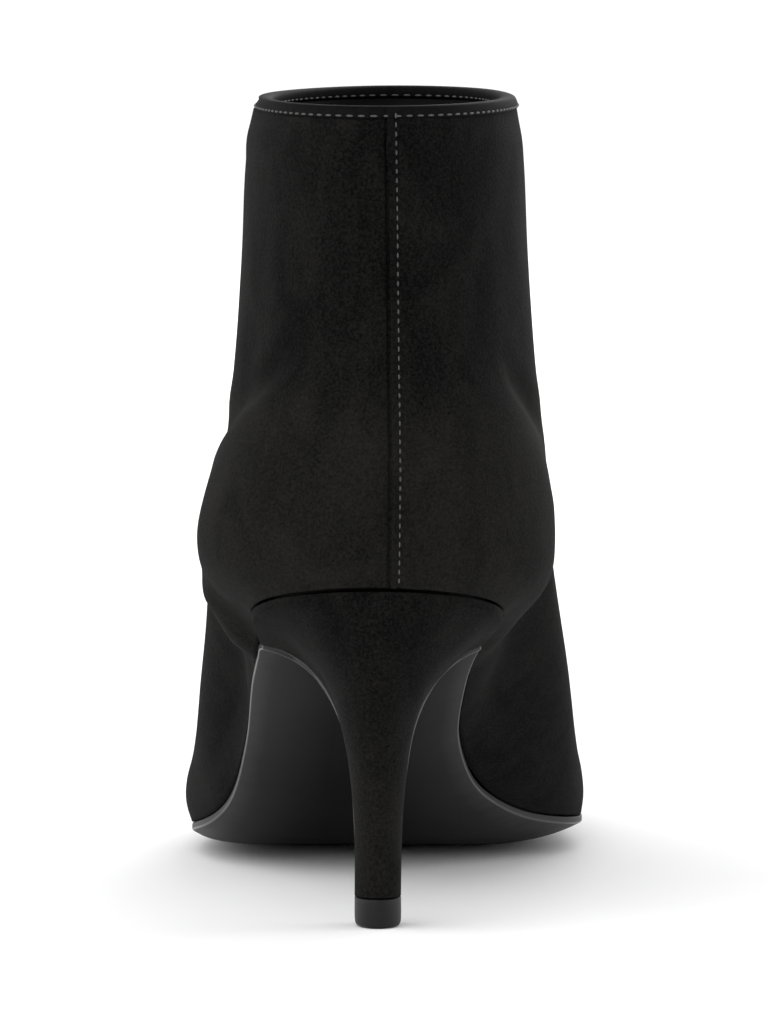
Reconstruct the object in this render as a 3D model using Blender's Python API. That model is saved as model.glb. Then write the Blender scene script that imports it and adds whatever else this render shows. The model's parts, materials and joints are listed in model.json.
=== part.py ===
# Suede ankle boot for the left foot, on a slim covered heel.
#
# The boot is laid out in millimetres in the maker's frame: X = 0 on the heel's axis with the
# inner side of the foot at +X, Y = 0 at the rearmost point with the toe at +Y, and Z = 0 on
# the floor. At the end one empty carries all pieces to the middle of the boot's footprint.

import math

import bmesh
import bpy
import numpy as np

MM = 0.001

# Driving sizes
LENGTH = 243.5        # from the back of the heel seat's plane Y = 0 to the toe tip of the sole
BALL_Y = 150.0        # the foot's widest place, where the toe begins to narrow
COLLAR_Z = 153.0      # top of the collar binding
WALL = 2.0            # suede with its lining
GAP = 0.3             # clearance between pieces that touch
SEAT_BACK = 2.0       # rear end of the heel seat
SEAT_FRONT = 44.2     # front end of the heel seat
SEAT_ROUND = 27.0     # length of the seat's rounded rear end
ROUND = 0.5           # exponent of a round end, while 1 is a straight-sided point
TOE_POINT = 0.72      # exponent of the almond-shaped toe
TOE_X = 3.5           # the toe tip lies to the inner side of the heel's axis
COLLAR_X = 2.0        # and so does the collar's front end
SOLE_THICK = 1.3      # sole leather at its thinned edge
INSOLE_THICK = 2.0
INSOLE_INSET = 3.0    # from the sole's outline to the insole's edge, inside the upper's wall
APEX_Y = 45.2         # where the sole turns down into the heel's front
TAIL_RUN = 62.0       # length of the sole's tail and bend
CROWN_RUN = 20.0      # the sole's underside grows from flat to crowned over this length
TIP_HEIGHT = 5.5      # plastic tip under the heel
BINDING_SKIN = 0.6    # leather strip over the collar
BINDING_SKIRT = 2.4   # how far the strip comes down on both sides
BINDING_SHOULDER = 0.8  # and where its rounded top begins
BINDING_CORNER = (0.5, 0.2)  # a point on that rounding, in from the side and down from the top
TURN = (2.5, 1.5)     # the tail widens into the sole from here behind the bend to here past it
LAP = 0.5             # the inner quarter overlaps the outer one by this step at the back seam
SEAM_U = (0.0105, 0.0125)  # foot and top of that step, as shares of the way round the upper
SEAM_FADE_U = 0.12    # where the step has faded out on the inner side
LAP_END = (0.90, 0.965)    # rises between which the step runs out under the binding

# Counts of the surfaces' columns and rows
UPPER_COLUMNS = 60
SOLE_COLUMNS = 34
TAIL_COLUMNS = 13
INSOLE_COLUMNS = 56
HEEL_COLUMNS = 13
BINDING_COLUMNS = 56
TIP_COLUMNS = 8
MERGE = 0.005          # points closer than this are one
PROBE = 0.004          # small step along a surface that finds its direction
PROBE_RUN = 0.5        # the same along the sole's path
SHARP_DEG = 40.0       # edges sharper than this stay crisp

OUTER, INNER = -1, 1
SIDE_NAME = {OUTER: "outer", INNER: "inner"}
TREAD_FLAT = {OUTER: 0.3, INNER: 0.1}  # shares of the sole's half width that are flat underneath
CROWN_POWER = 4        # how tightly the sole's underside rounds up to its edge


def table(columns, *rows):
    """Columns of numbers by name, from a row for each section."""
    return dict(zip(columns.split(), np.array(rows, dtype=float).T))


# The line on which the upper's lower edge lies, seen from the side
BED = table(
    "y z",
    (2.0, 64.4),
    (15.0, 61.4),
    (29.0, 57.4),
    (45.0, 52.0),
    (56.0, 47.2),
    (67.7, 41.3),
    (80.0, 34.2),
    (92.0, 27.1),
    (111.0, 16.2),
    (125.7, 10.2),
    (140.0, 7.4),
    (155.0, 6.4),
    (175.0, 6.3),
    (200.0, 7.5),
    (225.0, 10.0),
    (243.5, 12.6),
)

# Half widths of the bottom, before its ends are rounded, and the lowest line of the tread
BOTTOM = table(
    "y outer inner tread",
    (2.0, 23.3, 23.1, 62.0),
    (29.0, 23.8, 23.0, 55.0),
    (45.4, 22.9, 19.3, 49.2),
    (67.7, 25.0, 15.6, 38.2),
    (92.0, 27.2, 14.3, 23.6),
    (111.0, 31.2, 18.4, 11.8),
    (125.7, 36.6, 26.3, 5.2),
    (140.0, 39.2, 34.8, 1.9),
    (148.0, 39.4, 37.2, 0.8),
    (158.0, 39.4, 37.5, 0.0),
    (174.0, 39.2, 37.6, 0.0),
    (200.0, 39.2, 37.6, 1.6),
    (225.0, 39.2, 37.6, 5.2),
    (243.5, 39.2, 37.6, 10.0),
)

# The sole's tail on the front of the heel, from the tip up to where it turns into the sole
TAIL = table(
    "y z outer inner",
    (24.3, 5.8, 4.2, 4.0),
    (25.0, 16.0, 4.5, 4.3),
    (26.6, 27.0, 5.3, 5.1),
    (29.4, 35.6, 6.8, 6.5),
    (33.4, 42.4, 9.9, 9.2),
    (37.4, 46.6, 13.4, 12.3),
    (41.0, 49.2, 17.6, 15.8),
    (44.4, 50.5, 21.4, 18.2),
    (47.6, 50.4, 21.6, 18.4),
    (51.5, 49.1, 21.6, 18.4),
)

# Back and front lines of the upper, seen from the side, from its lower edge to the collar
BACK_LINE = table(
    "rise y z",
    (0.00, 1.6, 64.7),
    (0.05, 0.5, 69.0),
    (0.12, 0.0, 75.3),
    (0.22, 1.1, 83.8),
    (0.36, 3.7, 96.0),
    (0.52, 6.4, 109.8),
    (0.70, 8.0, 125.3),
    (0.86, 8.5, 139.1),
    (1.00, 8.3, 151.2),
)
FRONT_LINE = table(
    "rise y z",
    (0.000, 243.8, 12.9),
    (0.022, 244.6, 16.6),
    (0.056, 240.6, 20.6),
    (0.120, 226.5, 24.4),
    (0.187, 210.0, 28.8),
    (0.283, 190.0, 35.6),
    (0.381, 170.0, 44.2),
    (0.485, 150.0, 55.6),
    (0.592, 132.0, 70.8),
    (0.690, 118.6, 87.2),
    (0.785, 110.4, 106.0),
    (0.896, 106.2, 129.6),
    (1.000, 104.0, 151.2),
)

# Rings of the upper above its lower edge: half widths at heel, waist and ball on both sides,
# and the shares of the ring that the rounded heel and the rounded front take
RINGS = table(
    "rise outer_heel outer_waist outer_ball inner_heel inner_waist inner_ball heel front point",
    (0.02, 25.6, 25.8, 40.6, 25.2, 16.8, 37.8, 0.125, 0.385, 0.72),
    (0.05, 29.2, 26.2, 40.6, 28.8, 19.0, 37.7, 0.140, 0.400, 0.69),
    (0.10, 32.6, 26.6, 39.5, 31.8, 21.2, 37.2, 0.165, 0.430, 0.64),
    (0.20, 35.1, 28.2, 38.1, 33.4, 24.4, 36.8, 0.200, 0.500, 0.56),
    (0.30, 34.3, 30.8, 37.0, 33.7, 28.2, 36.2, 0.240, 0.560, 0.50),
    (0.40, 31.9, 32.3, 35.6, 32.4, 31.0, 34.8, 0.280, 0.620, 0.50),
    (0.50, 28.3, 30.0, 32.6, 29.6, 31.0, 32.2, 0.330, 0.640, 0.50),
    (0.70, 26.7, 27.5, 28.0, 27.7, 28.8, 28.8, 0.420, 0.580, 0.50),
    (0.86, 25.7, 26.1, 26.3, 26.9, 27.2, 27.2, 0.470, 0.530, 0.50),
    (0.96, 24.9, 25.0, 25.0, 26.1, 26.2, 26.2, 0.490, 0.510, 0.50),
    (0.98, 24.1, 24.1, 24.1, 25.5, 25.5, 25.5, 0.500, 0.500, 0.50),
    (1.00, 23.3, 23.3, 23.3, 24.9, 24.9, 24.9, 0.500, 0.500, 0.50),
)
HEEL_STATION, BALL_STATION = 0.15, 0.605
WAIST_STATION = {OUTER: 0.31, INNER: 0.35}

# Heel block from its seat to the tip: its back line, the height of its front line as a run
# along the sole's tail, and its half widths as shares of the seat's
HEEL = table(
    "drop back_y back_z front_run outer inner",
    (0.00, 2.0, 64.0, 51.8, 1.000, 1.000),
    (0.03, 2.0, 62.8, 50.6, 0.985, 0.985),
    (0.08, 2.4, 60.6, 48.2, 0.760, 0.845),
    (0.16, 3.3, 57.2, 44.0, 0.589, 0.674),
    (0.28, 5.1, 51.8, 38.0, 0.420, 0.472),
    (0.44, 8.0, 44.0, 30.0, 0.300, 0.316),
    (0.64, 11.2, 33.0, 20.0, 0.223, 0.233),
    (0.84, 13.7, 19.0, 9.6, 0.184, 0.192),
    (1.00, 15.0, 5.8, 0.0, 0.184, 0.184),
)

# Colour, roughness and metallic value of each piece
FINISH = {
    "suede": ((0.011, 0.011, 0.011), 0.95, 0.0),
    "smooth_leather": ((0.016, 0.016, 0.016), 0.45, 0.0),
    "sole_leather": ((0.030, 0.030, 0.030), 0.40, 0.0),
    "insole_board": ((0.020, 0.018, 0.017), 0.80, 0.0),
    "tip_plastic": ((0.028, 0.028, 0.028), 0.50, 0.0),
}


def clamp(value):
    """The value kept between 0 and 1."""
    return min(max(value, 0.0), 1.0)


def ease(start, end, at):
    """Soft step from 0 at the start to 1 at the end."""
    t = clamp((at - start) / (end - start))
    return t * t * (3.0 - 2.0 * t)


def cap(share, point=ROUND):
    """End of an outline, round or more pointed: 0 at its tip, 1 where the width is full."""
    return (1.0 - (1.0 - clamp(share)) ** 2) ** point


def smooth(keys, values, at):
    """Cubic curve through the points, whose slopes come from the points on either side."""
    steps = np.diff(keys)
    slopes = np.diff(values) / steps
    middle = (slopes[:-1] * steps[1:] + slopes[1:] * steps[:-1]) / (steps[:-1] + steps[1:])
    tangents = np.concatenate((slopes[:1], middle, slopes[-1:]))
    i = int(np.clip(np.searchsorted(keys, at) - 1, 0, len(steps) - 1))
    t = clamp((at - keys[i]) / steps[i])
    bend = (1.0 - t) ** 2 * t * tangents[i] - t * t * (1.0 - t) * tangents[i + 1]
    return values[i] + (values[i + 1] - values[i]) * t * t * (3.0 - 2.0 * t) + steps[i] * bend


def read(source, column, at):
    """One column of a table at a place along its first column."""
    keys = next(iter(source.values()))
    return float(smooth(keys, source[column], at))


def bottom_edge(side, y, inset=0.0):
    """X of the bottom's outline on one side, at a place along the foot."""
    half = read(BOTTOM, SIDE_NAME[side], y) - inset
    rear = cap((y - SEAT_BACK - inset) / SEAT_ROUND)
    front = cap((LENGTH - inset - y) / (LENGTH - BALL_Y), TOE_POINT)
    return side * half * rear * front + TOE_X * ease(BALL_Y, LENGTH, y)


def ring_edge(side, along, ring):
    """X of one of the upper's rings, at a share of the way from its heel to its front."""
    name = SIDE_NAME[side]
    heel, waist, ball = (RINGS[f"{name}_{place}"][ring] for place in ("heel", "waist", "ball"))
    to_waist = ease(HEEL_STATION, WAIST_STATION[side], along)
    to_ball = ease(WAIST_STATION[side], BALL_STATION, along)
    half = heel + (waist - heel) * to_waist + (ball - waist) * to_ball
    rear = cap(along / RINGS["heel"][ring])
    front = cap((1.0 - along) / RINGS["front"][ring], RINGS["point"][ring])
    lean = (TOE_X + (COLLAR_X - TOE_X) * RINGS["rise"][ring]) * ease(BALL_STATION, 1.0, along)
    return side * half * rear * front + lean


def side_view(along, rise):
    """Y and Z of a point of the upper, between its four border lines seen from the side."""
    low_y = SEAT_BACK + (LENGTH - SEAT_BACK) * along
    low_z = read(BED, "z", low_y) + GAP
    back_z = read(BACK_LINE, "z", rise)
    front_z = read(FRONT_LINE, "z", rise)
    top_z = BACK_LINE["z"][-1]
    corners = (1.0 - along) * BACK_LINE["z"][0] + along * FRONT_LINE["z"][0]
    y = (1.0 - along) * read(BACK_LINE, "y", rise) + along * read(FRONT_LINE, "y", rise)
    z = (1.0 - along) * back_z + along * front_z + (1.0 - rise) * (low_z - corners)
    return y, min(z, top_z)


def turn(u):
    """Side and share of the way from heel to toe, for a place round an outline."""
    half_turn = 2.0 * min(u, 1.0 - u)
    side = INNER if u <= 0.5 else OUTER
    return side, (1.0 - math.cos(math.pi * half_turn)) / 2.0


def upper_point(u, rise):
    """Point of the upper's outer face: u goes round it, rise goes from sole to collar."""
    side, along = turn(u)
    y, z = side_view(along, rise)
    low_x = bottom_edge(side, SEAT_BACK + (LENGTH - SEAT_BACK) * along)
    rises = np.concatenate(((0.0,), RINGS["rise"]))
    widths = [low_x] + [ring_edge(side, along, ring) for ring in range(len(RINGS["rise"]))]
    return float(smooth(rises, np.array(widths), rise)), y, z


def sole_path():
    """Side view of the sole's upper face, from the tail's end to the toe."""
    ahead = BED["y"] > TAIL["y"][-1]
    return np.concatenate([np.column_stack((TAIL["y"], TAIL["z"])),
                           np.column_stack((BED["y"], BED["z"]))[ahead]])


def sole_runs():
    """Lengths along the sole's path at its points."""
    return np.concatenate(((0.0,), np.cumsum(np.hypot(*np.diff(SOLE_PATH, axis=0).T))))


def sole_station(run):
    """Y, Z and the direction to the sole's outer face, at a run along the sole's path."""
    nearby = (run, min(run + PROBE_RUN, SOLE_RUNS[-1]), max(run - PROBE_RUN, 0.0))
    here, ahead, behind = (
        [float(smooth(SOLE_RUNS, SOLE_PATH[:, axis], at)) for axis in (0, 1)] for at in nearby
    )
    run_y, run_z = ahead[0] - behind[0], ahead[1] - behind[1]
    size = math.hypot(run_y, run_z)
    return here[0], here[1], run_z / size, -run_y / size


def make_material(name):
    """Principled material of one piece."""
    colour, roughness, metallic = FINISH[name]
    material = bpy.data.materials.new(name)
    material.use_nodes = True
    shader = material.node_tree.nodes["Principled BSDF"]
    shader.inputs["Base Color"].default_value = (*colour, 1.0)
    shader.inputs["Roughness"].default_value = roughness
    shader.inputs["Metallic"].default_value = metallic
    material.diffuse_color = (*colour, 1.0)
    return material


def make_surface(name, finish, columns, rows, place, closed=True):
    """Piece made from a grid whose points are put in place and joined where they meet."""
    bm = bmesh.new()
    cells_u, cells_v = len(columns) - 1, len(rows) - 1
    bmesh.ops.create_grid(bm, x_segments=cells_u, y_segments=cells_v, size=0.5)
    for vert in bm.verts:
        column = columns[round((vert.co.x + 0.5) * cells_u)]
        row = rows[round((vert.co.y + 0.5) * cells_v)]
        vert.co = [size * MM for size in place(column, row)]
    bmesh.ops.remove_doubles(bm, verts=bm.verts, dist=MERGE * MM)
    if closed:
        bmesh.ops.holes_fill(bm, edges=bm.edges, sides=0)
        bmesh.ops.triangulate(bm, faces=[face for face in bm.faces if len(face.verts) > 4])
        bmesh.ops.recalc_face_normals(bm, faces=bm.faces)
    mesh = bpy.data.meshes.new(name)
    bm.to_mesh(mesh)
    bm.free()
    mesh.shade_smooth()
    mesh.set_sharp_from_angle(angle=math.radians(SHARP_DEG))
    mesh.materials.append(MATERIALS[finish])
    piece = bpy.data.objects.new(name, mesh)
    BOOT.objects.link(piece)
    piece.parent = CARRIER
    return piece


def spread(count):
    """Even shares from 0 to 1."""
    return [i / count for i in range(count + 1)]


def upper_wall(u, place):
    """Point of the upper's wall at a rise and a depth below its outer face."""
    rise, depth = place
    x, y, z = upper_point(u, rise)
    if depth == 0.0:
        lap = LAP * (u > SEAM_U[0]) * (1.0 - ease(SEAM_U[1], SEAM_FADE_U, u))
        return x, y - lap * (1.0 - ease(*LAP_END, rise)), z
    round_u = np.subtract(upper_point((u + PROBE) % 1.0, rise), upper_point((u - PROBE) % 1.0, rise))
    up = np.subtract(upper_point(u, min(rise + PROBE, 1.0)), upper_point(u, max(rise - PROBE, 0.0)))
    outward = np.cross(round_u, up)
    return tuple(np.array((x, y, z)) - outward / np.linalg.norm(outward) * depth)


def build_upper():
    """Hollow upper: an outer and an inner face, open at the collar and underneath."""
    rises = (0.0, 0.02, 0.045, 0.075, 0.11, 0.15, 0.20, 0.25, 0.31, 0.37, 0.43, 0.49,
             0.55, 0.61, 0.67, 0.73, 0.79, 0.85, 0.90, 0.94, 0.96, 0.98, 1.0)
    columns = sorted(spread(UPPER_COLUMNS) + list(SEAM_U))
    rows = [(rise, 0.0) for rise in rises] + [(rise, WALL) for rise in reversed(rises)]
    make_surface("upper", "suede", columns, rows + rows[:1], upper_wall)


def collar_direction(u):
    """Outward direction of the collar in plan, at a place round it."""
    ahead = upper_point((u + PROBE) % 1.0, 1.0)
    behind = upper_point((u - PROBE) % 1.0, 1.0)
    run_x, run_y = ahead[0] - behind[0], ahead[1] - behind[1]
    size = math.hypot(run_x, run_y)
    return run_y / size, -run_x / size


def build_binding():
    """Leather strip folded over the collar, a U-shaped section carried round it."""
    skirt_z = COLLAR_Z - BINDING_SKIRT
    shoulder_z = COLLAR_Z - BINDING_SHOULDER
    slot_z = BACK_LINE["z"][-1] + GAP
    corner_in, corner_down = BINDING_CORNER
    outer, inner = GAP + BINDING_SKIN, -WALL - GAP - BINDING_SKIN
    section = (
        (outer, skirt_z), (outer, shoulder_z), (outer - corner_in, COLLAR_Z - corner_down),
        ((outer + inner) / 2.0, COLLAR_Z),
        (inner + corner_in, COLLAR_Z - corner_down), (inner, shoulder_z), (inner, skirt_z),
        (inner + BINDING_SKIN, skirt_z), (inner + BINDING_SKIN, slot_z),
        (GAP, slot_z), (GAP, skirt_z), (outer, skirt_z),
    )

    def place(u, corner):
        x, y, _ = upper_point(u, 1.0)
        out_x, out_y = collar_direction(u)
        offset, z = section[corner]
        return x + out_x * offset, y + out_y * offset, z

    make_surface("collar_binding", "smooth_leather", spread(BINDING_COLUMNS),
                 range(len(section)), place)


def build_insole():
    """Board on the sole and the heel seat, inside the upper's wall."""
    layers = ((0.0, 0.0), (0.6, 0.0), (1.0, 0.0), (1.0, 1.0), (0.6, 1.0), (0.0, 1.0))

    def place(u, layer):
        side, along = turn(u)
        y = SEAT_BACK + INSOLE_INSET + (LENGTH - SEAT_BACK - 2.0 * INSOLE_INSET) * along
        across, up = layers[layer]
        middle = sum(bottom_edge(s, y, INSOLE_INSET) for s in (OUTER, INNER)) / 2.0
        x = middle + (bottom_edge(side, y, INSOLE_INSET) - middle) * across
        return x, y, read(BED, "z", y) + GAP + INSOLE_THICK * up

    make_surface("insole", "insole_board", spread(INSOLE_COLUMNS), range(len(layers)), place)


def sole_edge(side, y):
    """X of the sole's edge: the bottom's outline, and the tail on the front of the heel."""
    tail = side * read(TAIL, SIDE_NAME[side], y)
    outline = bottom_edge(side, max(y, APEX_Y))
    return tail + (outline - tail) * ease(APEX_Y - TURN[0], APEX_Y + TURN[1], y)


def build_outsole():
    """Sole leather: crowned under the ball, thin at the edge, and bent down the heel's front."""
    layers = ((0.0, 0.0), (0.2, 0.0), (0.35, 0.0), (0.5, 0.0), (0.65, 0.0), (0.8, 0.0),
              (0.92, 0.0), (1.0, 0.0), (1.0, 1.0), (0.6, 1.0), (0.0, 1.0))

    def place(column, layer):
        side, run = column
        y, z, down_y, down_z = sole_station(run)
        across, up = layers[layer]
        middle = sum(sole_edge(s, y) for s in (OUTER, INNER)) / 2.0
        x = middle + (sole_edge(side, y) - middle) * across
        if up == 1.0:
            return x, y, z
        low_y, low_z = y + down_y * SOLE_THICK, z + down_z * SOLE_THICK
        tread = max(read(BOTTOM, "tread", low_y), 0.0)
        drop = max(low_z - tread, 0.0) * ease(APEX_Y, APEX_Y + CROWN_RUN, low_y)
        rise = clamp((across - TREAD_FLAT[side]) / (1.0 - TREAD_FLAT[side])) ** CROWN_POWER
        return x, low_y, low_z - drop * (1.0 - rise)

    front_length = SOLE_RUNS[-1] - TAIL_RUN
    tail = [TAIL_RUN * step for step in spread(TAIL_COLUMNS)]
    front = [TAIL_RUN + front_length * (step + math.sin(math.pi / 2.0 * step)) / 2.0
             for step in spread(SOLE_COLUMNS)]
    runs = tail + front[1:]
    columns = [(INNER, run) for run in runs] + [(OUTER, run) for run in runs[-2::-1]]
    make_surface("outsole", "sole_leather", columns, range(len(layers)), place)


def seat_point(along):
    """Y and Z of the heel seat's middle line, under the upper."""
    y = SEAT_BACK + (SEAT_FRONT - SEAT_BACK) * along
    return y, read(BED, "z", y) - GAP


def heel_front(run):
    """Y and Z of the heel block's front line, behind the sole's tail."""
    y, z, out_y, out_z = sole_station(run)
    return y - out_y * GAP, z - out_z * GAP


def heel_point(side, along, drop):
    """Point of the heel block's side: along goes from its back line to its front line."""
    back_y, back_z, front_run, share = (
        read(HEEL, name, drop) for name in ("back_y", "back_z", "front_run", SIDE_NAME[side])
    )
    seat_y, seat_z = seat_point(along)
    front_y, front_z = heel_front(front_run) if drop > 0.0 else seat_point(1.0)
    chord = seat_point(0.0)[1] + (seat_point(1.0)[1] - seat_point(0.0)[1]) * along
    y = back_y + (front_y - back_y) * along
    z = back_z + (front_z - back_z) * along + (seat_z - chord) * (1.0 - drop)
    return bottom_edge(side, seat_y) * share, y, z


def build_heel():
    """Covered heel block: a flared seat, a curved back and a slim stem above the tip."""
    drops = (0.0, 0.03, 0.055, 0.08, 0.12, 0.16, 0.22, 0.28, 0.36, 0.44, 0.54, 0.64, 0.74, 0.84, 1.0)
    rows = [(0.0, 0.0), (0.6, 0.0)] + [(1.0, drop) for drop in drops] + [(0.0, 1.0)]

    def place(column, row):
        side, along = column
        across, drop = row
        x, y, z = heel_point(side, along, drop)
        middle = (x + heel_point(-side, along, drop)[0]) / 2.0
        return middle + (x - middle) * across, y, z

    alongs = [1.0 - math.sin(math.pi / 2.0 * share) for share in spread(HEEL_COLUMNS)]
    columns = [(INNER, along) for along in alongs] + [(OUTER, along) for along in alongs[-2::-1]]
    make_surface("heel", "suede", columns + columns[:1], rows, place)


def build_tip():
    """Plastic tip under the heel, with a rounded lower edge and a flat wearing face."""
    rim = ((0.0, 0.0), (0.78, 0.0), (0.93, 0.35), (1.0, 1.2), (1.0, TIP_HEIGHT), (0.0, TIP_HEIGHT))
    core = 0.5
    back_y, front_y = HEEL["back_y"][-1], TAIL["y"][0] + SOLE_THICK
    middle_y = (back_y + front_y) / 2.0

    def place(column, row):
        side, along = column
        across, z = row
        out_y = back_y + (front_y - back_y) * along - middle_y
        return heel_point(side, along, 1.0)[0] * across, middle_y + out_y * max(across, core), z

    alongs = [1.0 - math.sin(math.pi / 2.0 * share) for share in spread(TIP_COLUMNS)]
    columns = [(INNER, along) for along in alongs] + [(OUTER, along) for along in alongs[-2::-1]]
    make_surface("heel_tip", "tip_plastic", columns + columns[:1], rim, place)


def centre_footprint():
    """Carry the boot so that the origin is on the floor, in the middle of its bounding box."""
    corners = np.array([vert.co for piece in BOOT.objects if piece.type == "MESH"
                        for vert in piece.data.vertices])
    middle = (corners.min(axis=0) + corners.max(axis=0)) / 2.0
    CARRIER.location = (-middle[0], -middle[1], 0.0)


for leftover in list(bpy.data.objects):
    bpy.data.objects.remove(leftover, do_unlink=True)

BOOT = bpy.data.collections.new("suede_ankle_boot")
bpy.context.scene.collection.children.link(BOOT)
CARRIER = bpy.data.objects.new("boot_origin", None)
BOOT.objects.link(CARRIER)
MATERIALS = {name: make_material(name) for name in FINISH}
SOLE_PATH = sole_path()
SOLE_RUNS = sole_runs()

build_upper()
build_binding()
build_insole()
build_outsole()
build_heel()
build_tip()
centre_footprint()
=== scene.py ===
# %% [markdown]
# # A suede ankle boot
# This lesson dresses the solids of a left ankle boot until they look like the real one: black
# suede with a lapped seam down the back, a leather strip round the collar, a thin leather sole
# that turns down the front of a slim covered heel, and a small plastic tip. Sizes are in
# millimetres unless a comment says otherwise. X runs to the inner side of the foot, Y from heel to
# toe, and Z up from the floor.

# %% Load the solids
import json
import math

import bmesh
import bpy
import numpy as np
from mathutils import Matrix, Vector, noise
from mathutils.bvhtree import BVHTree

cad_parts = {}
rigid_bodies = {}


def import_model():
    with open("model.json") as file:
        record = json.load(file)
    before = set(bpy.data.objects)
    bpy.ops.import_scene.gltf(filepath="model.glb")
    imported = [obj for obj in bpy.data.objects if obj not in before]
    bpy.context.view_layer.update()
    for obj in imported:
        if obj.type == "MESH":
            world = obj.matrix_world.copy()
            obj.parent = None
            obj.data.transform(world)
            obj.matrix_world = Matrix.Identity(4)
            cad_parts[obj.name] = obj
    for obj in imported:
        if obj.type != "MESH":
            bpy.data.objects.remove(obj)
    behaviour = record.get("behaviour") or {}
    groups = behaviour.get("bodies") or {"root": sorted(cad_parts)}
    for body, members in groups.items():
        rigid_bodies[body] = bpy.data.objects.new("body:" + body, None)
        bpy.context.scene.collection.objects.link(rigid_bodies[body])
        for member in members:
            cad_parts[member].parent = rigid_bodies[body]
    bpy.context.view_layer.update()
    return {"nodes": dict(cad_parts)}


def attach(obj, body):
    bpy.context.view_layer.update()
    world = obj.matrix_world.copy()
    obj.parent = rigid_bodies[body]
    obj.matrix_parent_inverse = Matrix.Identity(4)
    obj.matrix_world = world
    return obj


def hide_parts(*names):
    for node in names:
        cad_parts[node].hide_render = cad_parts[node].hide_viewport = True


for leftover in list(bpy.data.objects):
    bpy.data.objects.remove(leftover, do_unlink=True)
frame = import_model()
MM = 0.001
print("solids:", sorted(frame["nodes"]))

# %% [markdown]
# ## Camera
# The picture is taken from behind, from two metres away and a little above the collar. A long lens
# from far off shows the boot nearly without perspective. A wide lens close by could fill the frame
# too, but it would swell the heel and shrink the toe. The camera stands to the inner side of the
# boot, so a little more of the inner side shows.

# %% Camera
CAMERA_AT = Vector((43.4, -2055.2, 234.4)) * MM
AIM_AT = Vector((0.4, 0.0, 69.0)) * MM
LENS = 372.0
SEES_TO = 100.0  # metres, well past the floor's edge

scene = bpy.context.scene
camera = bpy.data.objects.new("camera", bpy.data.cameras.new("camera"))
camera.data.lens = LENS
camera.data.clip_end = SEES_TO
camera.location = CAMERA_AT
camera.rotation_euler = (AIM_AT - CAMERA_AT).to_track_quat("-Z", "Y").to_euler()
scene.collection.objects.link(camera)
scene.camera = camera
looks_down = math.degrees(math.pi / 2 - camera.rotation_euler.x)
print("camera looks down by", round(looks_down, 1), "degrees")

# %% [markdown]
# ## Colours and nodes
# Colours are picked as sRGB hex values, as in any paint program, but a shader mixes light, so it
# needs them linear. One function does that. Another adds a node, fills in its settings and links
# its inputs, so that each material below reads as a short list of what is in it.

# %% Helpers for materials
def srgb(code):
    """Linear colour of an sRGB hex value."""
    parts = [int(code[i:i + 2], 16) / 255.0 for i in (1, 3, 5)]
    return [p / 12.92 if p <= 0.04045 else ((p + 0.055) / 1.055) ** 2.4 for p in parts] + [1.0]


def add_node(material, kind, settings, links):
    """New node of a material, with its settings by name and its inputs linked from outputs."""
    node = material.node_tree.nodes.new(kind)
    for name, value in settings.items():
        if isinstance(name, int) or name in node.inputs:
            node.inputs[name].default_value = value
        else:
            setattr(node, name, value)
    for name, source in links.items():
        material.node_tree.links.new(source, node.inputs[name])
    return node


def new_material(name, **shader_settings):
    """Material with a Principled shader whose constant values are set on its own sockets."""
    material = bpy.data.materials.new(name)
    material.use_nodes = True
    shader = material.node_tree.nodes["Principled BSDF"]
    for socket, value in shader_settings.items():
        shader.inputs[socket.replace("_", " ")].default_value = value
    return material, shader


def per_mm(size):
    """Scale of a pattern whose features are that many millimetres across."""
    return 1.0 / (size * MM)


print("mid grey in linear light:", round(srgb("#808080")[0], 3))

# %% [markdown]
# ## Studio
# The boot stands in soft light, as in a photo tent. A pale world fills in from all round, one very
# wide sun from the upper left gives the form its light and dark side, and soft boxes at the sides
# and in front of the toe draw the light edges. Small lamps would be quicker to set, but they draw
# hard shadows and bright spots that suede doesn't have.

# %% Studio light
WORLD_STRENGTH = 0.86
LAMPS_FACE = Vector((0.0, 0.0, 0.07))
LAMPS = (  # name, kind, place in metres, strength, settings
    ("wide_sun", "SUN", (-1.0, -1.1, 1.4), 1.2, {"angle": math.radians(70.0)}),
    ("soft_box_left", "AREA", (-1.6, 0.2, 0.6), 5.0, {"size": 1.2}),
    ("soft_box_right", "AREA", (1.6, 0.2, 0.6), 5.0, {"size": 1.2}),
    ("soft_box_front", "AREA", (0.5, 1.7, 0.9), 12.0, {"size": 1.2}),
)

scene.view_settings.view_transform = "Standard"
world = bpy.data.worlds.new("photo_tent")
world.use_nodes = True
world.node_tree.nodes["Background"].inputs["Color"].default_value = srgb("#ffffff")
world.node_tree.nodes["Background"].inputs["Strength"].default_value = WORLD_STRENGTH
scene.world = world
for name, kind, at, strength, settings in LAMPS:
    lamp = bpy.data.objects.new(name, bpy.data.lights.new(name, kind))
    lamp.data.energy = strength
    for setting, value in settings.items():
        setattr(lamp.data, setting, value)
    lamp.location = at
    lamp.rotation_euler = (LAMPS_FACE - Vector(at)).to_track_quat("-Z", "Y").to_euler()
    lamp.visible_camera = False
    scene.collection.objects.link(lamp)

# %% [markdown]
# ## Floor
# Under the boot lies matt white paper. Real studio paper bends up behind the object to hide its
# edge. A flat disc does the same when it is so wide that its edge is far off. Very faint clouds
# keep it from being one dead white.

# %% Floor
FLOOR_RADIUS = 30.0  # metres

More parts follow.
